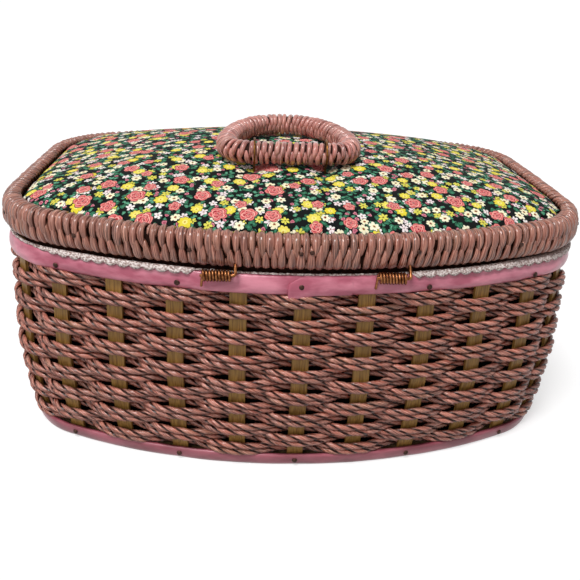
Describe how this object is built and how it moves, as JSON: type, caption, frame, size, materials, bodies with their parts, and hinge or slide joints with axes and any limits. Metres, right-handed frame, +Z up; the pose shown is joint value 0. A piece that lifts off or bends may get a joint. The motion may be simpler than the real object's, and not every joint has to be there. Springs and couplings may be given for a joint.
{
  "type": "sewing basket",
  "caption": "Oval woven sewing basket with a domed padded lid on two coil hinges, a swinging wrapped handle on the lid, satin lining and a wire loop clasp.",
  "frame": {"origin": "middle of the underside of the base board, on the surface that the basket stands on", "axes": "+X along the basket's length, to the right as seen from the hinge side; +Y from the hinge side towards the clasp; +Z up"},
  "size_m": [0.3308, 0.2674, 0.1682],
  "materials": {
    "cord": "twisted paper cord in dusty rose with a satin sheen",
    "vinyl": "thin pink vinyl strip, semi-gloss",
    "stave": "split cane, tan to olive, dry satin",
    "board": "pressed board, matt",
    "lace": "white braid",
    "satin": "pink satin over card",
    "print": "padded cotton with a small flower print on a dark ground",
    "brass": "dull copper-toned brass wire"
  },
  "bodies": {
    "basket": {"base_board": "board", "bottom_band": "vinyl", "stave_01": "stave", "stave_02": "stave", "stave_03": "stave", "stave_04": "stave", "stave_05": "stave", "stave_06": "stave", "stave_07": "stave", "stave_08": "stave", "stave_09": "stave", "stave_10": "stave", "stave_11": "stave", "stave_12": "stave", "stave_13": "stave", "stave_14": "stave", "stave_15": "stave", "stave_16": "stave", "stave_17": "stave", "stave_18": "stave", "stave_19": "stave", "stave_20": "stave", "stave_21": "stave", "stave_22": "stave", "stave_23": "stave", "stave_24": "stave", "stave_25": "stave", "stave_26": "stave", "stave_27": "stave", "stave_28": "stave", "stave_29": "stave", "stave_30": "stave", "weaver_a": "cord", "weaver_b": "cord", "top_hoop": "stave", "top_band": "vinyl", "lace_trim": "lace", "lining_wall": "satin", "lining_floor": "satin", "hinge_coil_left": "brass", "hinge_coil_right": "brass", "clasp_staple": "brass"},
    "lid": {"lid_rim_wrap": "cord", "lid_hoop_lower": "stave", "lid_hoop_upper": "stave", "lid_board": "board", "lid_pad": "print", "lid_lining": "satin", "hinge_pin_left": "brass", "hinge_pin_right": "brass", "handle_tie_left": "brass", "handle_tie_right": "brass", "clasp_knob": "brass"},
    "handle": {"handle_core": "stave", "handle_wrap": "cord"},
    "clasp_loop": {"clasp_loop": "brass"}
  },
  "joints": [
    {"name": "lid_hinge", "type": "hinge", "parent": "basket", "child": "lid", "pos_m": [0, -0.128, 0.117], "axis": [1, 0, 0], "range_deg": [0, 100]},
    {"name": "handle_pivot", "type": "hinge", "parent": "lid", "child": "handle", "pos_m": [-0.005, -0.051, 0.15935], "axis": [1, 0, 0], "range_deg": [0, 110]},
    {"name": "clasp_swing", "type": "hinge", "parent": "basket", "child": "clasp_loop", "pos_m": [0, 0.132, 0.11115], "axis": [1, 0, 0], "range_deg": [0, 175]}
  ]
}
